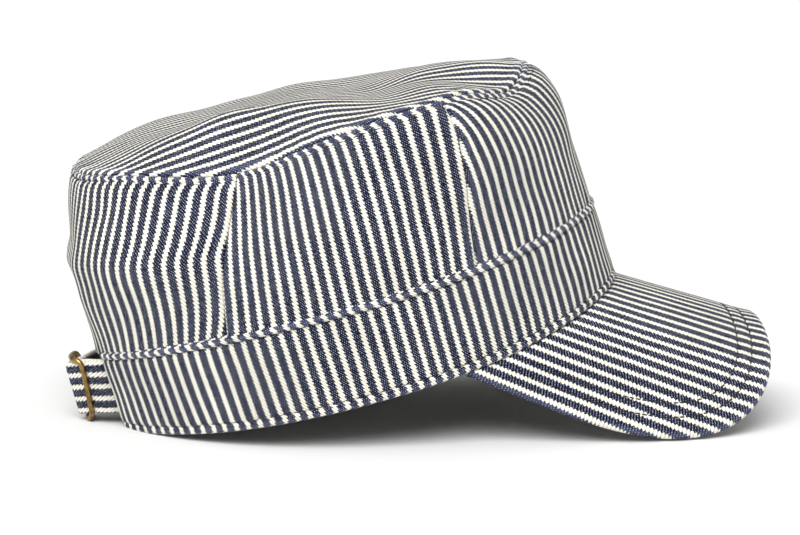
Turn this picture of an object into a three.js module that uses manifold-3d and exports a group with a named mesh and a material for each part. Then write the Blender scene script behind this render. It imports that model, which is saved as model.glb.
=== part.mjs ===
// A work cap of striped cotton twill, resting on a flat surface.
// It has an oval top, four wall panels, a band open at the back, a stiff curved peak,
// and a back strap that is threaded through a brass slide buckle.
// Millimetres. +X points to the peak, +Y to the wearer's left, +Z up.
import * as THREE from 'three';
import { mergeVertices } from 'three/addons/utils/BufferGeometryUtils.js';
import Module from 'manifold-3d';

// Driving sizes of the crown and band
const HALF_LENGTH = 106;
const HALF_WIDTH = 89;
const FRONT_NARROWING = 0.096;
const BAND_HEIGHT = 38;
const WALL_HEIGHT = 64;
const TOP_RISE = 8.5;

// Driving sizes of the cloth
const WALL_CLOTH = 1.6;
const BAND_CLOTH = 2.2;
const BAND_PROUD = 0.6;
const SEAM_GAP = 0.3;
const STRAP_GAP = 0.65;
const REST_PRESS = 0.7;

// Driving sizes of the peak
const PEAK_REACH = 123;
const PEAK_THICKNESS = 3.2;
const PEAK_SIDE_EDGE = 2.5;
const PEAK_HALF_ANGLE = THREE.MathUtils.degToRad(71);
const PEAK_DROP_MIDDLE = THREE.MathUtils.degToRad(30.5);
const PEAK_DROP_SIDE = THREE.MathUtils.degToRad(38);
const PEAK_SQUARENESS = 3.2;

// Driving sizes of the back opening, strap and buckle
const OPENING_HALF_WIDTH = 37;
const BAND_CORNER_WIDTH = 6;
const STRAP_WIDTH = 21;
const STRAP_CLOTH = 1.5;
const TAB_CLOTH = 1;
const STRAP_LEVEL = 0.5;
const STRAP_TUCK = 14;
const STRAP_SLACK = 10.5;
const SLACK_PLACE = -27;
const SLACK_FALL = 42;
const STRAP_RISE = 2.5;
const BUCKLE_PLACE = -20;
const BUCKLE_BAR_RADIUS = 0.85;
const BUCKLE_BAR_SPACING = 7;
const BUCKLE_RAIL_RADIUS = 1;
const BUCKLE_RAIL_CLEARANCE = 0.8;
const BUCKLE_RAIL_BOW = 1.2;

// Sections of the crown from the band's lower edge (level 0) through its upper edge (level 1)
// to the rim seam of the top (level 2). Heights are shares of BAND_HEIGHT and WALL_HEIGHT,
// reaches are shares of HALF_LENGTH and HALF_WIDTH. The back is flat where its reach passes
// flatBack, and rounded into the sides over BACK_CORNER.
const BAND_SECTIONS = [
  { level: 0, front: 0.258, side: 0, back: 0.167 },
  { level: 1, front: 1.103, side: 1, back: 0.94 },
];
const SECTIONS = [
  { level: 0, front: 0, side: 0, back: 0, reachFront: 1.0, reachBack: 1.0, flatBack: 0.95, reachSide: 0.956 },
  { level: 1, front: 0, side: 0, back: 0, reachFront: 0.98, reachBack: 1.012, flatBack: 0.953, reachSide: 1.0 },
  { level: 1.35, front: 0.32, side: 0.344, back: 0.398, reachFront: 0.971, reachBack: 1.02, flatBack: 0.962, reachSide: 1.011 },
  { level: 1.7, front: 0.633, side: 0.687, back: 0.789, reachFront: 0.962, reachBack: 0.985, flatBack: 0.93, reachSide: 0.989 },
  { level: 1.9, front: 0.828, side: 0.89, back: 1.01, reachFront: 0.922, reachBack: 0.925, flatBack: 0.9, reachSide: 0.937 },
  { level: 2, front: 0.931, side: 1, back: 1.085, reachFront: 0.858, reachBack: 0.885, flatBack: 0.875, reachSide: 0.862 },
];
const SIDE_SHARPNESS = 2.5;
const BACK_CORNER = 2.5;
const DENT_START = 0.4;

// Dents of the wall: angle round the crown and its spread in degrees, level and its spread,
// depth inward as a share of HALF_WIDTH, drop as a share of WALL_HEIGHT. They grow from
// nothing at the band to their full depth DENT_START above it.
const WALL_DENTS = [
  { angle: -110, spread: 21, level: 2, levelSpread: 0.45, inward: 0.085, drop: 0.115 },
  { angle: -28, spread: 14, level: 2, levelSpread: 0.4, inward: 0.02, drop: 0.1 },
  { angle: 116, spread: 24, level: 2, levelSpread: 0.45, inward: 0.04, drop: 0.06 },
  { angle: 34, spread: 15, level: 2, levelSpread: 0.35, inward: 0.01, drop: 0.04 },
  { angle: -140, spread: 16, level: 1.45, levelSpread: 0.22, inward: -0.025, drop: 0 },
  { angle: -152, spread: 12, level: 1.78, levelSpread: 0.14, inward: 0.022, drop: 0 },
  { angle: 178, spread: 26, level: 1.5, levelSpread: 0.08, inward: -0.03, drop: 0 },
];

// Folds of the top: place and half sizes as shares of HALF_LENGTH and HALF_WIDTH,
// heading in degrees from +X, height as a share of TOP_RISE.
const TOP_FOLDS = [
  { x: -0.22, y: -0.5, along: 0.34, across: 0.2, heading: -8, height: 0.95 },
  { x: 0.27, y: -0.25, along: 0.6, across: 0.2, heading: 95, height: -0.5 },
  { x: 0.66, y: -0.12, along: 0.3, across: 0.2, heading: -6, height: 0.1 },
  { x: -0.05, y: 0.55, along: 0.3, across: 0.22, heading: 10, height: 0.3 },
  { x: -0.66, y: 0.35, along: 0.35, across: 0.45, heading: 20, height: 0.5 },
];
const TOP_SHOULDER = 3;

// Seams between the wall panels, in degrees round the crown, at the band and at the rim
const WALL_SEAMS = [
  { below: -62.5, above: -56.3 },
  { below: -117.5, above: -110.5 },
  { below: 117.5, above: 110.5 },
  { below: 62.5, above: 56.3 },
];

const { cos, sin, abs, sqrt, exp, min, max, PI, atan2 } = Math;
const radians = THREE.MathUtils.degToRad;
const lerp = THREE.MathUtils.lerp;
const clamp = THREE.MathUtils.clamp;
const point = (x, y, z) => new THREE.Vector3(x, y, z);

// Value of one column of a section table at a level: straight between the first two rows,
// a smooth curve through the rows above them.
function column(rows, name, level) {
  const last = rows.length - 1;
  let row = 0;
  while (row < last - 1 && level > rows[row + 1].level) row += 1;
  const low = rows[row];
  const high = rows[row + 1];
  const span = high.level - low.level;
  const share = (level - low.level) / span;
  if (row === 0) return lerp(low[name], high[name], share);
  const slope = (index) => {
    const before = rows[max(index - 1, 1)];
    const after = rows[min(index + 1, last)];
    return (after[name] - before[name]) / (after.level - before.level);
  };
  const square = share * share;
  const cube = square * share;
  return (2 * cube - 3 * square + 1) * low[name]
    + (cube - 2 * square + share) * span * slope(row)
    + (3 * square - 2 * cube) * high[name]
    + (cube - square) * span * slope(row + 1);
}

const bell = (distance, spread) => exp(-((distance / spread) ** 2));
const turnBetween = (a, b) => atan2(sin(a - b), cos(a - b));

function backReach(ahead, level) {
  const reach = column(SECTIONS, 'reachBack', level) * HALF_LENGTH * -ahead;
  const flat = column(SECTIONS, 'flatBack', level) * HALF_LENGTH;
  return reach - BACK_CORNER * Math.log(1 + exp((reach - flat) / BACK_CORNER));
}

// Outer surface of the band (levels 0 to 1) and wall (levels 1 to 2)
function crownPoint(angle, level) {
  const ahead = cos(angle);
  const end = ahead > 0 ? 'front' : 'back';
  const width = column(SECTIONS, 'reachSide', level);
  const bandLevel = min(level, 1);
  const endWeight = abs(ahead) ** SIDE_SHARPNESS;
  const bandShare = lerp(column(BAND_SECTIONS, 'side', bandLevel), column(BAND_SECTIONS, end, bandLevel), endWeight);
  const wallShare = lerp(column(SECTIONS, 'side', level), column(SECTIONS, end, level), endWeight);
  const place = point(
    ahead > 0 ? column(SECTIONS, 'reachFront', level) * HALF_LENGTH * ahead : -backReach(ahead, level),
    width * HALF_WIDTH * sin(angle) * (1 - FRONT_NARROWING * ahead),
    bandShare * BAND_HEIGHT + wallShare * WALL_HEIGHT,
  );
  const freedom = clamp((level - 1) / DENT_START, 0, 1);
  for (const dent of WALL_DENTS) {
    const strength = freedom
      * bell(turnBetween(angle, radians(dent.angle)), radians(dent.spread))
      * bell(level - dent.level, dent.levelSpread);
    place.x -= strength * dent.inward * HALF_WIDTH * ahead;
    place.y -= strength * dent.inward * HALF_WIDTH * sin(angle);
    place.z -= strength * dent.drop * WALL_HEIGHT;
  }
  return place;
}

// Height of the flat plane that the rim lies near, at a place on the top
function rimPlane(x) {
  const share = (end) => column(BAND_SECTIONS, end, 1) * BAND_HEIGHT + column(SECTIONS, end, 2) * WALL_HEIGHT;
  const end = x > 0 ? 'front' : 'back';
  const weight = clamp(abs(x) / HALF_LENGTH, 0, 1) ** SIDE_SHARPNESS;
  return lerp(share('side'), share(end), weight);
}

// Outer surface of the top: angle round the rim and share of the way from middle to rim
function topPoint(angle, share) {
  const rim = crownPoint(angle, 2);
  const place = point(rim.x * share, rim.y * share, 0);
  const hold = share ** TOP_SHOULDER;
  place.z = lerp(rimPlane(place.x), rim.z, hold) + TOP_RISE * (1 - hold);
  for (const fold of TOP_FOLDS) {
    const awayX = place.x - fold.x * HALF_LENGTH;
    const awayY = place.y - fold.y * HALF_WIDTH;
    const heading = radians(fold.heading);
    const along = awayX * cos(heading) + awayY * sin(heading);
    const across = awayY * cos(heading) - awayX * sin(heading);
    place.z += fold.height * TOP_RISE * (1 - hold * share)
      * bell(along, fold.along * HALF_LENGTH) * bell(across, fold.across * HALF_WIDTH);
  }
  return place;
}

// Outward normal of a surface given by two numbers
function surfaceNormal(surface, a, b, stepA, stepB) {
  const alongA = surface(a + stepA, b).sub(surface(a - stepA, b));
  const alongB = surface(a, b + stepB).sub(surface(a, b - stepB));
  return alongA.cross(alongB).normalize();
}
const SMALL_TURN = 0.004;
const SMALL_LEVEL = 0.004;
const SMALL_RUN = 0.5;
const NEAR_MIDDLE = 0.02;
const wallNormal = (angle, level) => {
  const inside = clamp(level, SMALL_LEVEL, 2 - SMALL_LEVEL);
  return surfaceNormal(crownPoint, angle, inside, SMALL_TURN, SMALL_LEVEL);
};
const topNormal = (angle, share) => {
  const inside = clamp(share, NEAR_MIDDLE, 1 - SMALL_LEVEL);
  return surfaceNormal(topPoint, angle, inside, SMALL_TURN, -SMALL_LEVEL);
};

// At the rim both cloths end on one mitre, so their inner faces share this direction
const RIM_BLEND_LEVEL = 0.06;
const RIM_BLEND_SHARE = 0.05;
const SHARPEST_MITRE = 0.6;
function mitred(normal, other, amount) {
  const between = normal.clone().add(other).normalize();
  const length = lerp(1, 1 / max(between.dot(normal), SHARPEST_MITRE), amount);
  return normal.clone().lerp(between, amount).normalize().multiplyScalar(length);
}
function wallInward(angle, level) {
  const amount = clamp((level - 2 + RIM_BLEND_LEVEL) / RIM_BLEND_LEVEL, 0, 1);
  return mitred(wallNormal(angle, level), topNormal(angle, 1), amount);
}
function topInward(angle, share) {
  const amount = clamp((share - 1 + RIM_BLEND_SHARE) / RIM_BLEND_SHARE, 0, 1);
  return mitred(topNormal(angle, share), wallNormal(angle, 2), amount);
}

// A closed mesh from a list of vertices and quads, named and coloured
function namedMesh(name, vertices, triangles, material) {
  const geometry = new THREE.BufferGeometry();
  const numbers = vertices.flatMap((vertex) => [vertex.x, vertex.y, vertex.z]);
  geometry.setAttribute('position', new THREE.Float32BufferAttribute(numbers, 3));
  geometry.setIndex(triangles.flat());
  geometry.computeVertexNormals();
  const mesh = new THREE.Mesh(geometry, material);
  mesh.name = name;
  return mesh;
}

// A sheet of cloth with thickness: outer(i, j) and inner(i, j) give its two faces.
// Across by up, with the outer face turned out. A ring closes on itself across.
function clothShell(across, up, outer, inner, ring = false) {
  const vertices = [];
  const columns = ring ? across : across + 1;
  for (const face of [outer, inner]) {
    for (let i = 0; i < columns; i += 1) {
      for (let j = 0; j <= up; j += 1) vertices.push(face(i, j));
    }
  }
  const half = columns * (up + 1);
  const at = (i, j) => (i % columns) * (up + 1) + j;
  const triangles = [];
  const quad = (a, b, c, d) => {
    triangles.push([a, b, c], [a, c, d]);
  };
  for (let i = 0; i < across; i += 1) {
    for (let j = 0; j < up; j += 1) {
      quad(at(i, j), at(i + 1, j), at(i + 1, j + 1), at(i, j + 1));
      quad(half + at(i, j), half + at(i, j + 1), half + at(i + 1, j + 1), half + at(i + 1, j));
    }
    quad(half + at(i, 0), half + at(i + 1, 0), at(i + 1, 0), at(i, 0));
    quad(at(i, up), at(i + 1, up), half + at(i + 1, up), half + at(i, up));
  }
  if (!ring) {
    for (let j = 0; j < up; j += 1) {
      quad(at(0, j), at(0, j + 1), half + at(0, j + 1), half + at(0, j));
      quad(half + at(across, j), half + at(across, j + 1), at(across, j + 1), at(across, j));
    }
  }
  return { vertices, triangles };
}

// Materials
const twill = new THREE.MeshStandardMaterial({ color: 0x4a5170, roughness: 0.9, metalness: 0 });
const twillPeak = new THREE.MeshStandardMaterial({ color: 0x3f4767, roughness: 0.88, metalness: 0 });
const brass = new THREE.MeshStandardMaterial({ color: 0x8a7448, roughness: 0.4, metalness: 1 });

const cap = new THREE.Group();

// Numbers of steps in the meshes
const STEPS_TOP_ROUND = 64;
const STEPS_TOP_IN = 9;
const STEPS_WALL_UP = 9;
const STEPS_BAND_UP = 4;
const STEPS_PEAK_ACROSS = 34;
const STEPS_PEAK_OUT = 7;
const STEPS_STRAP = 140;
const STEPS_TAB = 50;
const STEP_ANGLE = radians(5.5);
const BAND_STEP_ANGLE = radians(4);
const CLOSER_TO_RIM = 1.3;

// Top panel: an oval sheet closed at its middle
function topPanel() {
  const gapShare = SEAM_GAP / 2 / HALF_WIDTH;
  const middle = { outer: 0, inner: 1 };
  const vertices = [topPoint(0, 0), topPoint(0, 0).add(point(0, 0, -WALL_CLOTH))];
  const shareOf = (step) => (1 - gapShare) * (1 - (1 - step / STEPS_TOP_IN) ** CLOSER_TO_RIM);
  const start = { outer: vertices.length, inner: vertices.length + STEPS_TOP_ROUND * STEPS_TOP_IN };
  for (const face of ['outer', 'inner']) {
    for (let i = 0; i < STEPS_TOP_ROUND; i += 1) {
      const angle = (2 * PI * i) / STEPS_TOP_ROUND;
      for (let step = 1; step <= STEPS_TOP_IN; step += 1) {
        const share = shareOf(step);
        const place = topPoint(angle, share);
        if (face === 'inner') place.addScaledVector(topInward(angle, share), -WALL_CLOTH);
        vertices.push(place);
      }
    }
  }
  const at = (face, i, step) => start[face] + (i % STEPS_TOP_ROUND) * STEPS_TOP_IN + step - 1;
  const triangles = [];
  for (let i = 0; i < STEPS_TOP_ROUND; i += 1) {
    triangles.push([middle.outer, at('outer', i, 1), at('outer', i + 1, 1)]);
    triangles.push([middle.inner, at('inner', i + 1, 1), at('inner', i, 1)]);
    for (let step = 1; step < STEPS_TOP_IN; step += 1) {
      const [a, b] = [at('outer', i, step), at('outer', i, step + 1)];
      const [c, d] = [at('outer', i + 1, step + 1), at('outer', i + 1, step)];
      triangles.push([a, b, c], [a, c, d]);
      const [e, f] = [at('inner', i, step), at('inner', i, step + 1)];
      const [g, h] = [at('inner', i + 1, step + 1), at('inner', i + 1, step)];
      triangles.push([e, g, f], [e, h, g]);
    }
    const [a, b] = [at('outer', i, STEPS_TOP_IN), at('outer', i + 1, STEPS_TOP_IN)];
    const [c, d] = [at('inner', i + 1, STEPS_TOP_IN), at('inner', i, STEPS_TOP_IN)];
    triangles.push([a, c, b], [a, d, c]);
  }
  return namedMesh('top_panel', vertices, triangles, twill);
}

// Wall panel between two seams
function wallPanel(name, right, left) {
  const gapLevelLow = (SEAM_GAP / 2) / WALL_HEIGHT;
  const gapAngle = SEAM_GAP / 2 / HALF_WIDTH;
  const across = Math.ceil(radians(left.below - right.below) / STEP_ANGLE);
  const grid = (i, j) => {
    const up = j / STEPS_WALL_UP;
    const level = lerp(1 + gapLevelLow, 2 - gapLevelLow, 1 - (1 - up) ** CLOSER_TO_RIM);
    const share = level - 1;
    const from = radians(lerp(right.below, right.above, share)) + gapAngle;
    const to = radians(lerp(left.below, left.above, share)) - gapAngle;
    return [lerp(from, to, i / across), level];
  };
  const outer = (i, j) => crownPoint(...grid(i, j));
  const inner = (i, j) => outer(i, j).addScaledVector(wallInward(...grid(i, j)), -WALL_CLOTH);
  const { vertices, triangles } = clothShell(across, STEPS_WALL_UP, outer, inner);
  return namedMesh(name, vertices, triangles, twill);
}

// Angle round the band of a place beside the middle of the back
const backAngle = (aside) => PI - Math.asin(clamp(aside / HALF_WIDTH / (1 + FRONT_NARROWING), -1, 1));

// Angle of the band's end edge, which is rounded towards the lower edge
const CORNER_FULLNESS = 0.96;
function bandEndAngle(level) {
  const below = clamp(1 - level / STRAP_LEVEL, 0, 1);
  const rounding = (1 - sqrt(1 - CORNER_FULLNESS * below * below)) * (BAND_CORNER_WIDTH / HALF_WIDTH);
  return backAngle(OPENING_HALF_WIDTH) - rounding;
}

// Direction in which the peak runs out from the band at an angle round the band
function peakHeading(angle) {
  const aside = min(abs(sin(angle) / sin(PEAK_HALF_ANGLE)), 1);
  const drop = lerp(PEAK_DROP_MIDDLE, PEAK_DROP_SIDE, aside * aside);
  return point(cos(drop), 0, -sin(drop));
}
function peakSurface(angle, run) {
  return crownPoint(angle, 0).addScaledVector(peakHeading(angle), run);
}
const peakNormal = (angle, run) => surfaceNormal(peakSurface, angle, run, SMALL_TURN, -SMALL_RUN);

// Band: one strip round the head, open at the back
function hatBand() {
  const across = Math.ceil((2 * bandEndAngle(1)) / BAND_STEP_ANGLE);
  const gapLevel = SEAM_GAP / 2 / BAND_HEIGHT;
  const grid = (i, j) => {
    const level = lerp(gapLevel, 1 - gapLevel, j / STEPS_BAND_UP);
    const end = bandEndAngle(level);
    return [lerp(-end, end, i / across), level];
  };
  const outer = (i, j) => {
    const [angle, level] = grid(i, j);
    return crownPoint(angle, level).addScaledVector(wallNormal(angle, level), BAND_PROUD);
  };
  const inner = (i, j) => {
    const [angle, level] = grid(i, j);
    return crownPoint(angle, level).addScaledVector(wallNormal(angle, level), BAND_PROUD - BAND_CLOTH);
  };
  const { vertices, triangles } = clothShell(across, STEPS_BAND_UP, outer, inner);
  return namedMesh('hat_band', vertices, triangles, twill);
}

// Peak: a bent board covered with cloth, ruled along its heading
function peak() {
  const corner = crownPoint(PEAK_HALF_ANGLE, 0);
  const outlineRun = (angle) => {
    const start = crownPoint(angle, 0);
    const aside = min(abs(start.y / corner.y), 1);
    const edge = corner.x + PEAK_REACH * (1 - aside ** PEAK_SQUARENESS) ** (1 / PEAK_SQUARENESS);
    return max((edge - start.x) / peakHeading(angle).x, 0) + PEAK_SIDE_EDGE;
  };
  const angleOf = (i) => PEAK_HALF_ANGLE * sin(PI * (i / STEPS_PEAK_ACROSS - 0.5));
  const runOf = (i, j) => lerp(SEAM_GAP, outlineRun(angleOf(i)), j / STEPS_PEAK_OUT);
  const upper = (i, j) => {
    const place = peakSurface(angleOf(i), runOf(i, j));
    return place.addScaledVector(peakNormal(angleOf(i), runOf(i, j)), -SEAM_GAP);
  };
  const lower = (i, j) => upper(i, j).addScaledVector(peakNormal(angleOf(i), runOf(i, j)), -PEAK_THICKNESS);
  const { vertices, triangles } = clothShell(
    STEPS_PEAK_ACROSS,
    STEPS_PEAK_OUT,
    (i, j) => upper(i, STEPS_PEAK_OUT - j),
    (i, j) => lower(i, STEPS_PEAK_OUT - j),
  );
  return namedMesh('peak', vertices, triangles, twillPeak);
}

// Direction up the band at an angle round it, at the strap's middle height
function upTheBand(angle) {
  const step = 0.1;
  return crownPoint(angle, STRAP_LEVEL + step).sub(crownPoint(angle, STRAP_LEVEL - step)).normalize();
}

// Place by the back of the band: distance from the middle of the back towards the left,
// then distances outward and upward, at the strap's middle height
function backPlace(aside, outward, upward) {
  const angle = backAngle(aside);
  return crownPoint(angle, STRAP_LEVEL)
    .addScaledVector(wallNormal(angle, STRAP_LEVEL), outward)
    .addScaledVector(upTheBand(angle), upward);
}

// Slack line of the strap: inside the band at both ends, bowed out and up at the buckle's side,
// from where it runs back in towards the left
const STRAP_INSIDE = BAND_PROUD - BAND_CLOTH - STRAP_GAP - STRAP_CLOTH / 2;
const SLACK_BEND = 2;
const SLACK_RIGHT_END = SLACK_BEND + STRAP_CLOTH / 2 - OPENING_HALF_WIDTH;
const SLACK_SQUARENESS = 2.5;
const SLACK_FULLNESS = 0.8;
const SLACK_STEPS = 96;
function slackBow(aside) {
  if (aside > SLACK_PLACE) return (1 + cos(PI * min((aside - SLACK_PLACE) / SLACK_FALL, 1))) / 2;
  const share = min((SLACK_PLACE - aside) / (SLACK_PLACE - SLACK_RIGHT_END), 1);
  return (1 - share ** SLACK_SQUARENESS) ** SLACK_FULLNESS;
}
const slackPoints = [];
for (let k = 0; k <= SLACK_STEPS; k += 1) {
  const aside = (OPENING_HALF_WIDTH + STRAP_TUCK) * (2 * k / SLACK_STEPS - 1);
  const bow = slackBow(aside);
  slackPoints.push(backPlace(aside, STRAP_INSIDE + STRAP_SLACK * bow, STRAP_RISE * bow));
}
const slackLine = new THREE.CatmullRomCurve3(slackPoints);
const SLACK_LENGTH = slackLine.getLength();

// Place by the slack line: distance along it from its middle towards the left, distance
// outward, and height up the band
function slackPlace(along, outward, rise) {
  const share = clamp(0.5 + along / SLACK_LENGTH, 0, 1);
  const middle = slackLine.getPointAt(share);
  const tangent = slackLine.getTangentAt(share);
  const upward = upTheBand(backAngle(middle.y));
  const normal = upward.clone().cross(tangent).normalize();
  const across = tangent.clone().cross(normal);
  return middle.addScaledVector(normal, outward).addScaledVector(across, rise);
}

// A ribbon of cloth that follows a path of [along, outward] places by the slack line
function ribbon(name, path, thickness, width) {
  const last = path.length - 1;
  const normalAt = (k) => {
    const before = path[max(k - 1, 0)];
    const after = path[min(k + 1, last)];
    const length = Math.hypot(after[0] - before[0], after[1] - before[1]);
    return [-(after[1] - before[1]) / length, (after[0] - before[0]) / length];
  };
  const face = (side) => (i, j) => {
    const [normalAlong, normalOut] = normalAt(last - i);
    const [along, out] = path[last - i];
    const offset = (side * thickness) / 2;
    return slackPlace(along + normalAlong * offset, out + normalOut * offset, (j - 0.5) * width);
  };
  const { vertices, triangles } = clothShell(last, 1, face(1), face(-1));
  return namedMesh(name, vertices, triangles, twill);
}

// Bars of the buckle: distance along the slack line and outward
const BAR_OUT = STRAP_CLOTH / 2 + SEAM_GAP + BUCKLE_BAR_RADIUS;
const TAB_LOOP_RADIUS = BUCKLE_BAR_RADIUS + SEAM_GAP + TAB_CLOTH / 2;
const TAB_LOOP_TURN = 110;
const TAB_LOOP_STEP = 20;
const TAB_RETURN = 2.2;
const STRAP_OVER = BAR_OUT + TAB_LOOP_RADIUS + TAB_CLOTH / 2 + STRAP_GAP + STRAP_CLOTH / 2;
const barPlaces = [-1, 0, 1].map((step) => BUCKLE_PLACE + step * BUCKLE_BAR_SPACING);

// Height of the strap's middle over the slack line: up and over the middle bar
function strapLift(along) {
  const away = clamp(abs(along - BUCKLE_PLACE) / BUCKLE_BAR_SPACING, 0, 1);
  return (STRAP_OVER * (1 + cos(PI * away))) / 2;
}
const SMALL_STEP = 0.05;
const strapTilt = (along) => {
  const climb = strapLift(along + SMALL_STEP) - strapLift(along - SMALL_STEP);
  return Math.atan(climb / (2 * SMALL_STEP));
};

// Strap: from inside the left band end, through the buckle, to inside the right band end
function strap() {
  const path = [];
  for (let k = 0; k <= STEPS_STRAP; k += 1) {
    const along = SLACK_LENGTH * (k / STEPS_STRAP - 0.5);
    path.push([along, strapLift(along)]);
  }
  return ribbon('strap', path, STRAP_CLOTH, STRAP_WIDTH);
}

// Tab: sewn inside the right band end, looped round the buckle's middle bar
function strapTab() {
  const near = STRAP_CLOTH / 2 + STRAP_GAP + TAB_CLOTH / 2;
  const far = near + TAB_CLOTH + SEAM_GAP;
  const below = (along, depth) => {
    const tilt = strapTilt(along);
    return [along + depth * sin(tilt), strapLift(along) - depth * cos(tilt)];
  };
  const start = -SLACK_LENGTH / 2;
  const path = [];
  for (let k = 0; k <= STEPS_TAB; k += 1) {
    path.push(below(lerp(start, BUCKLE_PLACE - TAB_LOOP_RADIUS, k / STEPS_TAB), near));
  }
  for (let turn = TAB_LOOP_TURN; turn >= -TAB_LOOP_TURN; turn -= TAB_LOOP_STEP) {
    const angle = radians(turn);
    path.push([BUCKLE_PLACE + TAB_LOOP_RADIUS * cos(angle), BAR_OUT + TAB_LOOP_RADIUS * sin(angle)]);
  }
  for (let k = STEPS_TAB; k >= 0; k -= 1) {
    path.push(below(lerp(start, BUCKLE_PLACE - TAB_RETURN * TAB_LOOP_RADIUS, k / STEPS_TAB), far));
  }
  return ribbon('strap_tab', path, TAB_CLOTH, STRAP_WIDTH);
}

// Buckle: three bars between two bowed rails, joined into one solid
const wasm = await Module();
wasm.setup();
function solidOf(geometry) {
  const bare = geometry.index ? geometry.toNonIndexed() : geometry;
  bare.deleteAttribute('normal');
  bare.deleteAttribute('uv');
  const merged = mergeVertices(bare, 1e-4);
  return new wasm.Manifold(new wasm.Mesh({
    numProp: 3,
    vertProperties: new Float32Array(merged.attributes.position.array),
    triVerts: new Uint32Array(merged.index.array),
  }));
}
function roundRod(points, radius, sides, steps) {
  const outline = new THREE.Shape();
  for (let k = 0; k < sides; k += 1) {
    const angle = (2 * PI * (k + 0.5)) / sides;
    const corner = [radius * cos(angle), radius * sin(angle)];
    if (k === 0) outline.moveTo(...corner);
    else outline.lineTo(...corner);
  }
  const extrudePath = new THREE.CatmullRomCurve3(points);
  return solidOf(new THREE.ExtrudeGeometry(outline, { steps, bevelEnabled: false, extrudePath }));
}
function buckle() {
  const railRise = STRAP_WIDTH / 2 + BUCKLE_RAIL_CLEARANCE + BUCKLE_RAIL_RADIUS;
  let solid = null;
  const join = (piece) => {
    solid = solid ? solid.add(piece) : piece;
  };
  for (const along of barPlaces) {
    const ends = [-railRise, railRise].map((rise) => slackPlace(along, BAR_OUT, rise));
    join(roundRod(ends, BUCKLE_BAR_RADIUS, 8, 1));
  }
  for (const rise of [-railRise, railRise]) {
    const points = [];
    for (let k = -4; k <= 4; k += 1) {
      const share = k / 4;
      const reach = share * (BUCKLE_BAR_SPACING + BUCKLE_BAR_RADIUS);
      const out = BAR_OUT + BUCKLE_RAIL_BOW * (1 - share * share);
      points.push(slackPlace(BUCKLE_PLACE + reach, out, rise));
    }
    join(roundRod(points, BUCKLE_RAIL_RADIUS, 8, 8));
  }
  const joined = solid.getMesh();
  const geometry = new THREE.BufferGeometry();
  geometry.setAttribute('position', new THREE.Float32BufferAttribute(joined.vertProperties, 3));
  geometry.setIndex([...joined.triVerts]);
  const mesh = new THREE.Mesh(geometry, brass);
  mesh.name = 'buckle';
  return mesh;
}

// The cap rests on the corners of its peak and on its band ends, whose cloth is pressed
// flat there: the tilt at which the peak stands REST_PRESS above the band's lowest edge.
const LEAST_TILT = 2;
const MOST_TILT = 35;
const TILT_STEPS = 40;
const heightAt = (place, tilt) => place.x * sin(tilt) + place.z * cos(tilt);
function lowest(mesh, tilt) {
  const places = mesh.geometry.attributes.position;
  const place = new THREE.Vector3();
  let low = Infinity;
  for (let k = 0; k < places.count; k += 1) {
    low = min(low, heightAt(place.fromBufferAttribute(places, k), tilt));
  }
  return low;
}
function restTilt(band, peakMesh) {
  let level = radians(LEAST_TILT);
  let steep = radians(MOST_TILT);
  for (let k = 0; k < TILT_STEPS; k += 1) {
    const trial = (level + steep) / 2;
    const peakTooHigh = lowest(peakMesh, trial) - lowest(band, trial) > REST_PRESS;
    if (peakTooHigh) steep = trial;
    else level = trial;
  }
  return (level + steep) / 2;
}
function pressFlat(mesh, tilt, floor) {
  const places = mesh.geometry.attributes.position;
  const place = new THREE.Vector3();
  for (let k = 0; k < places.count; k += 1) {
    place.fromBufferAttribute(places, k);
    const below = max(floor - heightAt(place, tilt), 0);
    places.setXYZ(k, place.x + below * sin(tilt), place.y, place.z + below * cos(tilt));
  }
}

const bandMesh = hatBand();
const peakMesh = peak();
const tilt = restTilt(bandMesh, peakMesh);
const floor = lowest(bandMesh, tilt) + REST_PRESS;
pressFlat(bandMesh, tilt, floor);
cap.add(
  topPanel(),
  wallPanel('front_panel', WALL_SEAMS[0], WALL_SEAMS[3]),
  wallPanel('side_panel_right', WALL_SEAMS[1], WALL_SEAMS[0]),
  wallPanel('side_panel_left', WALL_SEAMS[3], WALL_SEAMS[2]),
  wallPanel('back_panel', WALL_SEAMS[2], { below: WALL_SEAMS[1].below + 360, above: WALL_SEAMS[1].above + 360 }),
  bandMesh,
  peakMesh,
  strap(),
  strapTab(),
  buckle(),
);

cap.rotation.y = -tilt;
const box = new THREE.Box3().setFromObject(cap, true);
cap.position.set(-(box.min.x + box.max.x) / 2, -(box.min.y + box.max.y) / 2, -floor);

const group = new THREE.Group();
group.add(cap);
export default group;
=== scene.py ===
# Looks of a work cap of striped twill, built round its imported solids.
# Shapes are worked out in millimetres in the cap's own frame, where its band stands level,
# and then tilted into the row frame, in metres.
import bpy
import math
import numpy as np
from mathutils import Matrix, Vector


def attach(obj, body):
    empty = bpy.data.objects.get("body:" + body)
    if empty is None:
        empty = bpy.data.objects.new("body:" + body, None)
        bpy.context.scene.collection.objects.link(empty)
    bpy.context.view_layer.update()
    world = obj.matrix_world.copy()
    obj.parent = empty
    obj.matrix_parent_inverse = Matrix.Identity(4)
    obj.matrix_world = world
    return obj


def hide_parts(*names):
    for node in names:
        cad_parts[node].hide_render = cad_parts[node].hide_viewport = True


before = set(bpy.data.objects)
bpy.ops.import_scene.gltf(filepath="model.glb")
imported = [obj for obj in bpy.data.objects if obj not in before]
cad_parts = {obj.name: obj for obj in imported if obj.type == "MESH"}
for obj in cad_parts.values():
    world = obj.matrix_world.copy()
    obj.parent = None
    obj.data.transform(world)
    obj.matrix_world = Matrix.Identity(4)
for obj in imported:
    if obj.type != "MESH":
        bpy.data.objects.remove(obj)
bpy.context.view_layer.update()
MILLIMETRE = 0.001

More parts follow.
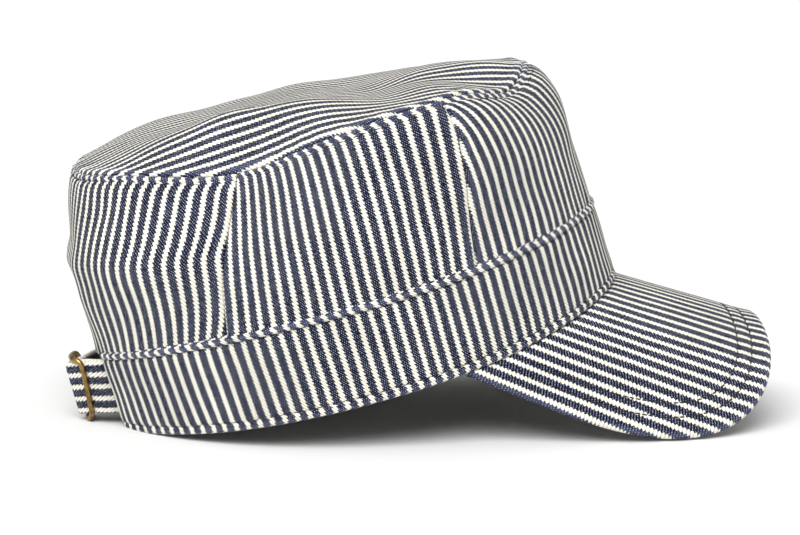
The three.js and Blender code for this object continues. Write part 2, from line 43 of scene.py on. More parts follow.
# The cap's frame in the row frame: its tilt in degrees and its origin in millimetres
CAP_TILT = math.radians(14.635145)
CAP_ORIGIN = np.array([-20.81636, -0.07055, 18.71132])

# Sizes of the crown and band, as in the solids
HALF_LENGTH = 106
HALF_WIDTH = 89
FRONT_NARROWING = 0.096
BAND_HEIGHT = 38
WALL_HEIGHT = 64
TOP_RISE = 8.5
WALL_CLOTH = 1.6
BAND_CLOTH = 2.2
BAND_PROUD = 0.6
SEAM_GAP = 0.3
SIDE_SHARPNESS = 2.5
BACK_CORNER = 2.5
DENT_START = 0.4
TOP_SHOULDER = 3
BAND_LEVELS = {"level": [0, 1], "front": [0.258, 1.103], "side": [0, 1], "back": [0.167, 0.94]}
SECTIONS = {
    "level": [0, 1, 1.35, 1.7, 1.9, 2],
    "front": [0, 0, 0.32, 0.633, 0.828, 0.931],
    "side": [0, 0, 0.344, 0.687, 0.89, 1],
    "back": [0, 0, 0.398, 0.789, 1.01, 1.085],
    "reachFront": [1.0, 0.98, 0.971, 0.962, 0.922, 0.858],
    "reachBack": [1.0, 1.012, 1.02, 0.985, 0.925, 0.885],
    "flatBack": [0.95, 0.953, 0.962, 0.93, 0.9, 0.875],
    "reachSide": [0.956, 1.0, 1.011, 0.989, 0.937, 0.862],
}
# Angle, spread, level, level spread, inward, drop
WALL_DENTS = [
    (-110, 21, 2, 0.45, 0.085, 0.115),
    (-28, 14, 2, 0.4, 0.02, 0.1),
    (116, 24, 2, 0.45, 0.04, 0.06),
    (34, 15, 2, 0.35, 0.01, 0.04),
    (-140, 16, 1.45, 0.22, -0.025, 0),
    (-152, 12, 1.78, 0.14, 0.022, 0),
    (178, 26, 1.5, 0.08, -0.03, 0),
]
# Place x and y, half sizes along and across, heading, height
TOP_FOLDS = [
    (-0.22, -0.5, 0.34, 0.2, -8, 0.95),
    (0.27, -0.25, 0.6, 0.2, 95, -0.5),
    (0.66, -0.12, 0.3, 0.2, -6, 0.1),
    (-0.05, 0.55, 0.3, 0.22, 10, 0.3),
    (-0.66, 0.35, 0.35, 0.45, 20, 0.5),
]

# Seams of the walls in degrees round the crown, at the band and at the rim
SEAMS = {"front_right": (-62.5, -56.3), "rear_right": (-117.5, -110.5),
         "rear_left": (117.5, 110.5), "front_left": (62.5, 56.3)}

# Sizes of the peak
PEAK_REACH = 123
PEAK_THICKNESS = 3.2
PEAK_SIDE_EDGE = 2.5
PEAK_HALF_ANGLE = math.radians(71)
PEAK_DROP_MIDDLE = math.radians(30.5)
PEAK_DROP_SIDE = math.radians(38)
PEAK_SQUARENESS = 3.2

# Sizes of the back opening, strap and buckle
OPENING_HALF_WIDTH = 37
BAND_CORNER_WIDTH = 6
CORNER_FULLNESS = 0.96
STRAP_GAP = 0.65
STRAP_WIDTH = 21
STRAP_CLOTH = 1.5
TAB_CLOTH = 1
STRAP_LEVEL = 0.5
STRAP_TUCK = 14
STRAP_SLACK = 10.5
SLACK_PLACE = -27
SLACK_FALL = 42
STRAP_RISE = 2.5
SLACK_BEND = 2
SLACK_SQUARENESS = 2.5
SLACK_FULLNESS = 0.8
BUCKLE_PLACE = -20
BAR_RADIUS = 0.85
BAR_SPACING = 7
RAIL_CLEARANCE = 0.8
RAIL_BOW = 1.2

# Stripes of the cloth
PITCH = 4.8
WHITE_HALF = 0.88


def column(rows, name, level):
    """Value of a section column at each level: straight up the band, smooth above it."""
    levels = np.array(rows["level"], float)
    values = np.array(rows[name], float)
    level = np.asarray(level, float)
    last = len(levels) - 1
    row = np.clip(np.searchsorted(levels, level, side="left") - 1, 0, last - 1)
    before = np.maximum(np.arange(last + 1) - 1, min(1, last))
    after = np.minimum(np.arange(last + 1) + 1, last)
    rise = values[after] - values[before]
    run = np.where(after == before, 1, levels[after] - levels[before])
    slope = rise / run
    span = levels[row + 1] - levels[row]
    s = (level - levels[row]) / span
    low, high = values[row], values[row + 1]
    curve = ((2 * s**3 - 3 * s**2 + 1) * low + (s**3 - 2 * s**2 + s) * span * slope[row]
             + (3 * s**2 - 2 * s**3) * high + (s**3 - s**2) * span * slope[row + 1])
    return np.where(row == 0, low + (high - low) * s, curve)


def bell(distance, spread):
    return np.exp(-((distance / spread) ** 2))


def turn_between(a, b):
    return np.arctan2(np.sin(a - b), np.cos(a - b))


def unit(v):
    return v / np.maximum(np.linalg.norm(v, axis=-1, keepdims=True), 1e-12)


def crown(angle, level):
    """Outer surface of the band, levels 0 to 1, and wall, levels 1 to 2."""
    angle, level = np.broadcast_arrays(np.asarray(angle, float), np.asarray(level, float))
    ahead = np.cos(angle)
    front = ahead > 0
    weight = np.abs(ahead) ** SIDE_SHARPNESS
    band_level = np.minimum(level, 1)
    band_end = np.where(front, column(BAND_LEVELS, "front", band_level),
                        column(BAND_LEVELS, "back", band_level))
    wall_end = np.where(front, column(SECTIONS, "front", level), column(SECTIONS, "back", level))
    band_side = column(BAND_LEVELS, "side", band_level)
    wall_side = column(SECTIONS, "side", level)
    band_share = band_side + (band_end - band_side) * weight
    wall_share = wall_side + (wall_end - wall_side) * weight
    reach = column(SECTIONS, "reachBack", level) * HALF_LENGTH * -ahead
    flat = column(SECTIONS, "flatBack", level) * HALF_LENGTH
    back = reach - BACK_CORNER * np.logaddexp(0, (reach - flat) / BACK_CORNER)
    x = np.where(front, column(SECTIONS, "reachFront", level) * HALF_LENGTH * ahead, -back)
    width = column(SECTIONS, "reachSide", level) * HALF_WIDTH
    y = width * np.sin(angle) * (1 - FRONT_NARROWING * ahead)
    z = band_share * BAND_HEIGHT + wall_share * WALL_HEIGHT
    freedom = np.clip((level - 1) / DENT_START, 0, 1)
    for at, spread, at_level, level_spread, inward, drop in WALL_DENTS:
        strength = (freedom * bell(turn_between(angle, math.radians(at)), math.radians(spread))
                    * bell(level - at_level, level_spread))
        x = x - strength * inward * HALF_WIDTH * ahead
        y = y - strength * inward * HALF_WIDTH * np.sin(angle)
        z = z - strength * drop * WALL_HEIGHT
    return np.stack([x, y, z], -1)


def rim_plane(x):
    def share(end):
        return (column(BAND_LEVELS, end, 1) * BAND_HEIGHT + column(SECTIONS, end, 2) * WALL_HEIGHT)
    weight = np.clip(np.abs(x) / HALF_LENGTH, 0, 1) ** SIDE_SHARPNESS
    end = np.where(x > 0, share("front"), share("back"))
    return share("side") + (end - share("side")) * weight


def top(angle, share):
    """Outer surface of the top: angle round the rim and share of the way to it."""
    angle, share = np.broadcast_arrays(np.asarray(angle, float), np.asarray(share, float))
    rim = crown(angle, np.full(angle.shape, 2.0))
    x = rim[..., 0] * share
    y = rim[..., 1] * share
    hold = share ** TOP_SHOULDER
    plane = rim_plane(x)
    z = plane + (rim[..., 2] - plane) * hold + TOP_RISE * (1 - hold)
    for fold_x, fold_y, along_half, across_half, heading, height in TOP_FOLDS:
        away_x = x - fold_x * HALF_LENGTH
        away_y = y - fold_y * HALF_WIDTH
        turn = math.radians(heading)
        along = away_x * math.cos(turn) + away_y * math.sin(turn)
        across = away_y * math.cos(turn) - away_x * math.sin(turn)
        z = z + (height * TOP_RISE * (1 - hold * share) * bell(along, along_half * HALF_LENGTH)
                 * bell(across, across_half * HALF_WIDTH))
    return np.stack([x, y, z], -1)


def surface_normal(surface, a, b, step_a, step_b):
    along_a = surface(a + step_a, b) - surface(a - step_a, b)
    along_b = surface(a, b + step_b) - surface(a, b - step_b)
    return unit(np.cross(along_a, along_b))


def wall_normal(angle, level):
    return surface_normal(crown, angle, np.clip(level, 0.004, 1.996), 0.004, 0.004)


def top_normal(angle, share):
    return surface_normal(top, angle, np.clip(share, 0.02, 0.996), 0.004, -0.004)


def ripple(a, b, size, seed, count=14):
    """Smooth uneven waves of about one size, from -1 to 1, the same each run."""
    random = np.random.default_rng(seed)
    total = 0
    for _ in range(count):
        heading = random.uniform(0, 2 * math.pi)
        length = size * random.uniform(0.7, 1.6)
        phase = random.uniform(0, 2 * math.pi)
        total = total + np.sin((a * math.cos(heading) + b * math.sin(heading))
                               * 2 * math.pi / length + phase)
    return total / math.sqrt(count) / 1.5


def lengths(points, axis):
    """Distance along the rows or columns of a grid of points, from its start."""
    steps = np.linalg.norm(np.diff(points, axis=axis), axis=-1)
    start_shape = list(steps.shape)
    start_shape[axis] = 1
    return np.concatenate([np.zeros(start_shape), np.cumsum(steps, axis=axis)], axis=axis)


def to_row_frame(points):
    """From the cap's frame in millimetres to the row frame in metres."""
    x, y, z = points[..., 0], points[..., 1], points[..., 2]
    tilted = np.stack([x * math.cos(CAP_TILT) - z * math.sin(CAP_TILT), y,
                       x * math.sin(CAP_TILT) + z * math.cos(CAP_TILT)], -1)
    return (tilted + CAP_ORIGIN) * MILLIMETRE


FLOOR_LIFT = 0.00005


def loft(name, rings, cloth, wear, node, material):
    """A closed piece from rings of points, each closed on itself, with its two ends capped.
    cloth gives each point's place in the flat cloth in millimetres: across and along the stripes."""
    count, size, _ = rings.shape
    middle = [rings[0].mean(0), rings[-1].mean(0)]
    points = to_row_frame(np.concatenate([rings.reshape(-1, 3), middle]))
    points[:, 2] = np.maximum(points[:, 2], FLOOR_LIFT)
    cloth = np.concatenate([cloth.reshape(-1, 2), [cloth[0].mean(0), cloth[-1].mean(0)]])
    wear = np.concatenate([wear.reshape(-1), [wear[0].mean(), wear[-1].mean()]])
    i, j = np.meshgrid(np.arange(count - 1), np.arange(size), indexing="ij")
    after = (j + 1) % size
    quads = np.stack([i * size + j, (i + 1) * size + j, (i + 1) * size + after,
                      i * size + after], -1).reshape(-1, 4)
    a, b, c, d = (points[quads[:, k]] for k in range(4))
    inside_out = (np.einsum("ij,ij->i", a, np.cross(b, c)).sum()
                  + np.einsum("ij,ij->i", a, np.cross(c, d)).sum()) < 0
    j = np.arange(size)
    after = (j + 1) % size
    last = (count - 1) * size
    first_fan = np.stack([np.full(size, count * size), j, after], -1)
    last_fan = np.stack([np.full(size, count * size + 1), last + after, last + j], -1)
    faces = quads.tolist() + first_fan.tolist() + last_fan.tolist()
    if inside_out:
        faces = [face[::-1] for face in faces]
    mesh = bpy.data.meshes.new(name)
    mesh.from_pydata(points.tolist(), [], faces)
    corners = np.empty(len(mesh.loops), np.int32)
    mesh.loops.foreach_get("vertex_index", corners)
    layer = mesh.uv_layers.new(name="cloth")
    layer.data.foreach_set("uv", cloth[corners].astype(np.float32).ravel())
    worn = mesh.attributes.new("wear", "FLOAT", "POINT")
    worn.data.foreach_set("value", wear.astype(np.float32))
    mesh.polygons.foreach_set("use_smooth", np.ones(len(mesh.polygons), bool))
    mesh.materials.append(material)
    mesh.validate()
    piece = bpy.data.objects.new(name, mesh)
    bpy.context.scene.collection.objects.link(piece)
    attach(piece, "root")
    if node:
        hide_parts(node)
    return piece


STITCH_STATIONS = 7
STITCH_SIDES = 6


def stitches(name, lines, material, length=2.3, gap=0.75, radius=0.2, lift=0.05, sink=0.35):
    """Rows of thread along lines of (points, normals): each stitch dips into the cloth at both ends."""
    vertices = []
    faces = []
    share = np.linspace(-1, 1, STITCH_STATIONS)
    turn = np.arange(STITCH_SIDES) * 2 * math.pi / STITCH_SIDES
    for points, normals in lines:
        along = lengths(points, 0)
        count = int(along[-1] / (length + gap))
        for k in range(count):
            middle = (k + 0.5) * (length + gap)
            places = np.clip(middle + share * length / 2, 0, along[-1])
            spine = np.stack([np.interp(places, along, points[:, c]) for c in range(3)], -1)
            normal = unit(np.stack([np.interp(places, along, normals[:, c]) for c in range(3)], -1))
            tangent = unit(np.gradient(spine, axis=0))
            aside = unit(np.cross(tangent, normal))
            spine = spine + normal * (lift - sink * np.abs(share) ** 4)[:, None]
            thickness = radius * np.sqrt(np.maximum(1 - np.abs(share) ** 6, 0.12))
            ring = (spine[:, None]
                    + aside[:, None] * (thickness[:, None] * np.cos(turn))[..., None]
                    + normal[:, None] * (thickness[:, None] * np.sin(turn))[..., None])
            base = len(vertices)
            vertices.extend(to_row_frame(ring.reshape(-1, 3)).tolist())
            for s in range(STITCH_STATIONS - 1):
                for t in range(STITCH_SIDES):
                    u = (t + 1) % STITCH_SIDES
                    low, high = base + s * STITCH_SIDES, base + (s + 1) * STITCH_SIDES
                    faces.append([low + t, low + u, high + u, high + t])
            end = base + (STITCH_STATIONS - 1) * STITCH_SIDES
            faces.append([base + t for t in range(STITCH_SIDES)][::-1])
            faces.append([end + t for t in range(STITCH_SIDES)])
    mesh = bpy.data.meshes.new(name)
    mesh.from_pydata(vertices, [], faces)
    mesh.polygons.foreach_set("use_smooth", np.ones(len(mesh.polygons), bool))
    mesh.materials.append(material)
    piece = bpy.data.objects.new(name, mesh)
    bpy.context.scene.collection.objects.link(piece)
    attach(piece, "root")
    return piece


# Materials
class Graph:
    """Short names for making shader nodes."""

    def __init__(self, name):
        self.material = bpy.data.materials.new(name)
        self.material.use_nodes = True
        self.tree = self.material.node_tree
        self.shader = self.tree.nodes["Principled BSDF"]

    def node(self, kind, inputs=(), **settings):
        made = self.tree.nodes.new(kind)
        for key, value in settings.items():
            setattr(made, key, value)
        for key, value in dict(inputs).items():
            self.put(made.inputs[key], value)
        return made

    def put(self, socket, value):
        if isinstance(value, bpy.types.NodeSocket):
            self.tree.links.new(value, socket)
        else:
            socket.default_value = value

    def math(self, operation, a, b=0.0, c=0.0):
        made = self.node("ShaderNodeMath", {0: a, 1: b, 2: c}, operation=operation)
        return made.outputs[0]

    def blend(self, share, a, b, mode="MIX"):
        made = self.node("ShaderNodeMix", data_type="RGBA", blend_type=mode)
        self.put(made.inputs["Factor"], share)
        self.put(made.inputs["A"], a)
        self.put(made.inputs["B"], b)
        return made.outputs["Result"]

    def range(self, value, low, high, to_low=0.0, to_high=1.0, smooth=True):
        kind = "SMOOTHSTEP" if smooth else "LINEAR"
        made = self.node("ShaderNodeMapRange", {"Value": value, "From Min": low, "From Max": high,
                                                "To Min": to_low, "To Max": to_high},
                         interpolation_type=kind)
        return made.outputs["Result"]

    def noise(self, x, y, scale_x, scale_y, detail=2.0, seed=0.0):
        place = self.node("ShaderNodeCombineXYZ", {0: self.math("MULTIPLY", x, scale_x),
                                                   1: self.math("MULTIPLY", y, scale_y), 2: seed})
        made = self.node("ShaderNodeTexNoise", {"Vector": place.outputs[0], "Scale": 1.0,
                                                "Detail": detail, "Roughness": 0.55})
        return made.outputs[0]


def linear(red, green, blue):
    """Scene colour from an 8-bit display colour."""
    def one(value):
        value = value / 255
        return value / 12.92 if value <= 0.04045 else ((value + 0.055) / 1.055) ** 2.4
    return (one(red), one(green), one(blue), 1.0)


TWILL_ACROSS = 1.5
TWILL_ALONG = 1.65
FLECK_ACROSS = 1.05
FLECK_ALONG = 1.2


def striped_twill(name):
    """Navy twill with cream stripes: diagonal ribs with painted shade in their grooves, light flecks of
    weft, uneven yarn.
    """
    g = Graph(name)
    place = g.node("ShaderNodeUVMap", uv_map="cloth")
    split = g.node("ShaderNodeSeparateXYZ", {0: place.outputs[0]})
    across, along = split.outputs[0], split.outputs[1]
    worn = g.node("ShaderNodeAttribute", attribute_name="wear").outputs["Fac"]
    drift = g.noise(across, along, 0.16, 0.05, 1.0, 3.0)
    wander = g.math("MULTIPLY", g.math("SUBTRACT", drift, 0.5), 0.5)
    jitter = g.math("MULTIPLY", g.math("SUBTRACT", g.noise(across, along, 0.9, 0.7, 2.0, 9.0), 0.5), 0.34)
    shifted = g.math("ADD", g.math("ADD", across, wander), jitter)
    rib_turn = g.math("ADD", g.math("MULTIPLY", across, 2 * math.pi / TWILL_ACROSS),
                      g.math("MULTIPLY", along, 2 * math.pi / TWILL_ALONG))
    rib_noise = g.math("MULTIPLY", g.noise(across, along, 0.6, 0.6, 1.0, 5.0), 2.6)
    rib_turn = g.math("ADD", rib_turn, rib_noise)
    fleck_turn = g.math("ADD", g.math("MULTIPLY", across, 2 * math.pi / FLECK_ACROSS),
                        g.math("MULTIPLY", along, 2 * math.pi / FLECK_ALONG))
    fleck_turn = g.math("ADD", fleck_turn, rib_noise)
    rib = g.math("SINE", rib_turn)
    turn = g.math("DIVIDE", shifted, PITCH)
    away = g.math("ABSOLUTE", g.math("SUBTRACT", g.math("FRACT", turn), 0.5))
    away = g.math("MULTIPLY", away, PITCH)
    edge = g.math("ADD", g.math("MULTIPLY", rib, 0.3), WHITE_HALF)
    white = g.range(g.math("SUBTRACT", edge, away), -0.16, 0.16)
    slub = g.noise(across, along, 2.3, 0.1, 2.0, 7.0)
    speckle = g.noise(across, along, 2.0, 2.0, 1.0, 11.0)
    yarn = g.math("SINE", g.math("SUBTRACT", g.math("MULTIPLY", across, 2 * math.pi / 0.8),
                                 g.math("MULTIPLY", along, 2 * math.pi / 1.9)))
    fleck_rib = g.range(g.math("SINE", fleck_turn), 0.1, 1.0)
    fleck_yarn = g.range(yarn, -0.1, 0.9)
    fleck = g.math("MULTIPLY", g.math("MULTIPLY", fleck_rib, fleck_yarn), g.range(speckle, 0.36, 0.6))
    navy_base = g.blend(g.range(slub, 0.3, 0.7), linear(16, 19, 38), linear(38, 44, 74))
    # Painted shade: the navy darkens to near black in the grooves between the twill ribs
    navy_base = g.blend(g.range(g.math("SINE", fleck_turn), -1.0, 0.4), linear(7, 9, 20), navy_base)
    navy = g.blend(g.math("MULTIPLY", fleck, 0.9), navy_base, linear(214, 220, 236))
    navy = g.blend(g.math("MULTIPLY", worn, 0.35), navy, linear(110, 118, 150))
    cream_base = g.blend(g.range(slub, 0.3, 0.7), linear(232, 228, 214), linear(240, 238, 228))
    # Painted shade: the cream turns grey-beige in the grooves between the twill ribs
    cream = g.blend(g.range(rib, -1.1, -0.3), linear(196, 190, 170), cream_base)
    tone = g.noise(across, along, 0.035, 0.03, 2.0, 13.0)
    colour = g.blend(white, navy, cream)
    shade = g.range(tone, 0.3, 0.7, 0.9, 1.06)
    grey = g.node("ShaderNodeCombineColor", {0: shade, 1: shade, 2: shade}).outputs[0]
    colour = g.blend(1.0, colour, grey, "MULTIPLY")
    g.put(g.shader.inputs["Base Color"], colour)
    g.shader.inputs["Roughness"].default_value = 0.88
    g.shader.inputs["Specular IOR Level"].default_value = 0.12
    g.shader.inputs["Sheen Weight"].default_value = 0.04
    g.shader.inputs["Sheen Roughness"].default_value = 0.45
    height = g.math("ADD", g.math("MULTIPLY", rib, 0.3), g.math("MULTIPLY", fleck_rib, 0.3))
    height = g.math("ADD", height, g.math("MULTIPLY", slub, 0.5))
    bump = g.node("ShaderNodeBump", {"Height": height, "Strength": 0.7, "Distance": 0.00016})
    g.put(g.shader.inputs["Normal"], bump.outputs[0])
    return g.material


def thread_material():
    g = Graph("black_thread")
    place = g.node("ShaderNodeTexCoord").outputs["Object"]
    waves = g.node("ShaderNodeTexNoise", {"Vector": place, "Scale": 1800.0, "Detail": 2.0}).outputs[0]
    g.put(g.shader.inputs["Base Color"], g.blend(waves, linear(12, 12, 18), linear(38, 38, 48)))
    g.shader.inputs["Roughness"].default_value = 0.7
    bump = g.node("ShaderNodeBump", {"Height": waves, "Strength": 0.4, "Distance": 0.0001})
    g.put(g.shader.inputs["Normal"], bump.outputs[0])
    return g.material


def brass_material():
    g = Graph("antique_brass")
    place = g.node("ShaderNodeTexCoord").outputs["Object"]
    stain = g.node("ShaderNodeTexNoise", {"Vector": place, "Scale": 260.0, "Detail": 4.0}).outputs[0]
    grain = g.node("ShaderNodeTexNoise", {"Vector": place, "Scale": 2600.0, "Detail": 2.0}).outputs[0]
    colour = g.blend(g.range(stain, 0.35, 0.65), linear(96, 74, 40), linear(168, 138, 84))
    g.put(g.shader.inputs["Base Color"], colour)
    g.shader.inputs["Metallic"].default_value = 1.0
    g.put(g.shader.inputs["Roughness"], g.range(stain, 0.3, 0.7, 0.42, 0.28))
    bump = g.node("ShaderNodeBump", {"Height": grain, "Strength": 0.25, "Distance": 0.0001})
    g.put(g.shader.inputs["Normal"], bump.outputs[0])
    return g.material


twill = striped_twill("striped_twill")
thread = thread_material()
brass = brass_material()


# How far the stripes lean aside over the height of a piece, and how far they bow aside half way
# up it, in millimetres: at its start, middle and end on the way round the crown
STRIPE_LEANS = {
    "back_panel": {"lean": (0, 0, -1), "bow": (0, 0, -9)},
    "side_panel_right": {"lean": (1, 12, 5), "bow": (0, 0, 0)},
    "hat_band": {"lean": (5, 0, -5), "bow": (0, 0, 0)},
}


def through_three(values, place):
    """The even curve through values at 0, 1/2 and 1."""
    start, middle, end = values
    return (start + (4 * middle - 3 * start - end) * place
            + 2 * (start - 2 * middle + end) * place**2)


def stripe_lean(node, across, up):
    if node not in STRIPE_LEANS:
        return np.zeros(np.broadcast(across, up).shape)
    row = STRIPE_LEANS[node]
    return through_three(row["lean"], across) * up + 4 * through_three(row["bow"], across) * up * (1 - up)


# Seam reliefs, in millimetres: distance from the seam, and where its stitches lie
RIM_HEM = 2.7
BAND_TOP_HEM = 3.0
BAND_LOW_HEM = 3.2


def hem(distance, width, puff, groove):
    """A sewn edge: a rounded roll between the edge and its stitches, and a groove under them."""
    roll = np.sqrt(np.clip(1 - ((distance - width / 2) / (width / 2)) ** 2, 0, 1))
    roll = np.where((distance > 0) & (distance < width), roll, 0)
    return puff * roll - groove * bell(distance - width, 0.4) - groove * 0.4 * bell(distance - width, 1.3)


def pucker(along, distance, seed, reach, size=6.5):
    """Small gathers that run away from a line of stitches."""
    wave = ripple(along, along * 0, size, seed, 10)
    return wave * np.exp(-np.abs(distance) / reach)


def wall_panel(name, node, right, left, columns, seed):
    rows_out = 120
    rows_in = 14
    gap = SEAM_GAP / 2
    up = np.linspace(0, 1, rows_out)
    level_low = 1 - 0.04
    level_out = level_low + (2 - gap / WALL_HEIGHT - level_low) * up
    level_in = np.linspace(level_out[-1], level_low, rows_in)
    levels = np.concatenate([level_out, level_in])
    share = np.clip(levels - 1, 0, 1)
    low_right, high_right = (math.radians(v) for v in right)
    low_left, high_left = (math.radians(v) for v in left)
    start = low_right + (high_right - low_right) * share + gap / HALF_WIDTH
    end = low_left + (high_left - low_left) * share - gap / HALF_WIDTH
    across_share = np.linspace(0, 1, columns)[:, None]
    angle = start[None] + (end - start)[None] * across_share
    level = np.broadcast_to(levels[None], angle.shape)
    base = crown(angle, level)
    normal = wall_normal(angle, level)
    width = lengths(base, 0)
    middle = (columns - 1) // 2
    across = width - width[middle:middle + 1]
    height = lengths(base[:, :rows_out], 1)
    full = height[:, -1:]
    up_the_wall = np.concatenate([height, np.repeat(full, rows_in, 1)
                                  * (1 - np.linspace(0, 1, rows_in))[None]], 1)
    from_rim = full - up_the_wall
    to_seam = np.minimum(width, width[-1:] - width)
    rim_roll = hem(from_rim, RIM_HEM, 0.35, 0.5)
    seam_dip = -0.65 * bell(to_seam, 0.45) + 0.3 * bell(to_seam - 2.6, 1.6)
    rim_dip = -0.9 * bell(from_rim, 0.5)
    gathers = 0.3 * pucker(across, from_rim - RIM_HEM, seed, 5.0) \
        + 0.25 * pucker(across, up_the_wall - 2, seed + 1, 5.0) \
        + 0.25 * pucker(up_the_wall, to_seam, seed + 2, 5.0, 9.0)
    soft = 0.35 * ripple(across, up_the_wall, 26, seed + 3)
    relief = rim_roll + seam_dip + rim_dip + gathers + soft
    outer = (np.arange(levels.size) < rows_out)[None]
    points = base + normal * np.where(outer, relief, -WALL_CLOTH + 0.6 * soft)[..., None]
    # Above its stitches the hem's stripes are a little out of line with the wall's
    slip = 1.3 * np.clip((RIM_HEM + 0.1 - from_rim) / 0.4, 0, 1) * outer
    lean = stripe_lean(node, across_share, share[None])
    cloth = np.stack([across + slip + lean, up_the_wall], -1)
    wear = 0.8 * bell(from_rim - RIM_HEM / 2, 1.0) + 0.3 * bell(to_seam - 2.4, 1.2)
    return loft(name, points, cloth, wear, node, twill)


def wrap(pair):
    return (pair[0] + 360, pair[1] + 360)


wall_panel("front_panel_cloth", "front_panel", SEAMS["front_right"], SEAMS["front_left"], 300, 11)
wall_panel("side_panel_right_cloth", "side_panel_right", SEAMS["rear_right"], SEAMS["front_right"], 200, 21)
wall_panel("side_panel_left_cloth", "side_panel_left", SEAMS["front_left"], SEAMS["rear_left"], 200, 31)
wall_panel("back_panel_cloth", "back_panel", SEAMS["rear_left"], wrap(SEAMS["rear_right"]), 330, 41)


def top_panel():
    around = 640
    rows_out = 96
    rows_in = 16
    angle = np.linspace(0, 2 * math.pi, around, endpoint=False)
    edge = 1 - SEAM_GAP / 2 / HALF_WIDTH
    out_share = edge * (1 - (1 - np.linspace(0.012, 1, rows_out)) ** 1.25)
    in_share = edge * np.linspace(1, 0.02, rows_in)
    share = np.concatenate([out_share, in_share])
    grid_angle, grid_share = np.meshgrid(angle, share)
    base = top(grid_angle, grid_share)
    normal = top_normal(grid_angle, grid_share)
    rim = crown(angle, np.full(around, 2.0))
    rim_reach = np.linalg.norm(rim[:, :2], axis=1)
    from_rim = (1 - grid_share) * rim_reach[None]
    rim_length = lengths(np.concatenate([rim, rim[:1]]), 0)[:-1]
    along_rim = np.broadcast_to(rim_length[None], grid_angle.shape)
    relief = (-0.9 * bell(from_rim, 0.55) + 0.35 * bell(from_rim - 2.2, 1.5)
              + 0.3 * pucker(along_rim, from_rim, 51, 6.0) * np.clip(from_rim / 1.5, 0, 1)
              + 0.3 * ripple(base[..., 0], base[..., 1], 30, 52))
    outer = (np.arange(share.size) < rows_out)[:, None]
    points = base + normal * np.where(outer, relief, -WALL_CLOTH)[..., None]
    across = flat_across(base[..., 0], base[..., 1])
    cloth = np.stack([across, base[..., 0]], -1)
    wear = 0.7 * bell(from_rim - 1.6, 1.2)
    return loft("top_panel_cloth", points, cloth, wear, "top_panel", twill)


def flat_across(x, y):
    """Distance across the stripes of the top in the flat cloth: the length over its folds."""
    step = 1.0
    reach_x, reach_y = 110, 94
    xs = np.arange(-reach_x, reach_x + step, step)
    ys = np.arange(-reach_y, reach_y + step, step)
    angles = np.linspace(-math.pi, math.pi, 721)
    rim = crown(angles, np.full(angles.shape, 2.0))
    headings = np.unwrap(np.arctan2(rim[:, 1], rim[:, 0]))
    grid_x, grid_y = np.meshgrid(xs, ys, indexing="ij")
    heading = np.arctan2(grid_y, grid_x)
    at_angle = np.interp(heading, headings, angles)
    reach = np.interp(heading, headings, np.linalg.norm(rim[:, :2], axis=1))
    height = top(at_angle, np.clip(np.hypot(grid_x, grid_y) / reach, 0, 1))[..., 2]
    slope = np.gradient(height, step, axis=1)
    stretch = np.sqrt(1 + np.clip(slope, -1.2, 1.2) ** 2)
    run = np.cumsum((stretch[:, 1:] + stretch[:, :-1]) / 2, axis=1) * step
    run = np.concatenate([np.zeros((xs.size, 1)), run], 1)
    run = run - run[:, ys.size // 2][:, None]
    at_x = np.clip((x + reach_x) / step, 0, xs.size - 1.001)
    at_y = np.clip((y + reach_y) / step, 0, ys.size - 1.001)
    i, j = at_x.astype(int), at_y.astype(int)
    s, t = at_x - i, at_y - j
    return ((1 - s) * (1 - t) * run[i, j] + s * (1 - t) * run[i + 1, j]
            + (1 - s) * t * run[i, j + 1] + s * t * run[i + 1, j + 1])


top_panel()


# Band
def back_angle(aside):
    return math.pi - np.arcsin(np.clip(aside / HALF_WIDTH / (1 + FRONT_NARROWING), -1, 1))


def band_end_angle(level):
    below = np.clip(1 - level / STRAP_LEVEL, 0, 1)
    rounding = (1 - np.sqrt(1 - CORNER_FULLNESS * below * below)) * (BAND_CORNER_WIDTH / HALF_WIDTH)
    return back_angle(OPENING_HALF_WIDTH) - rounding


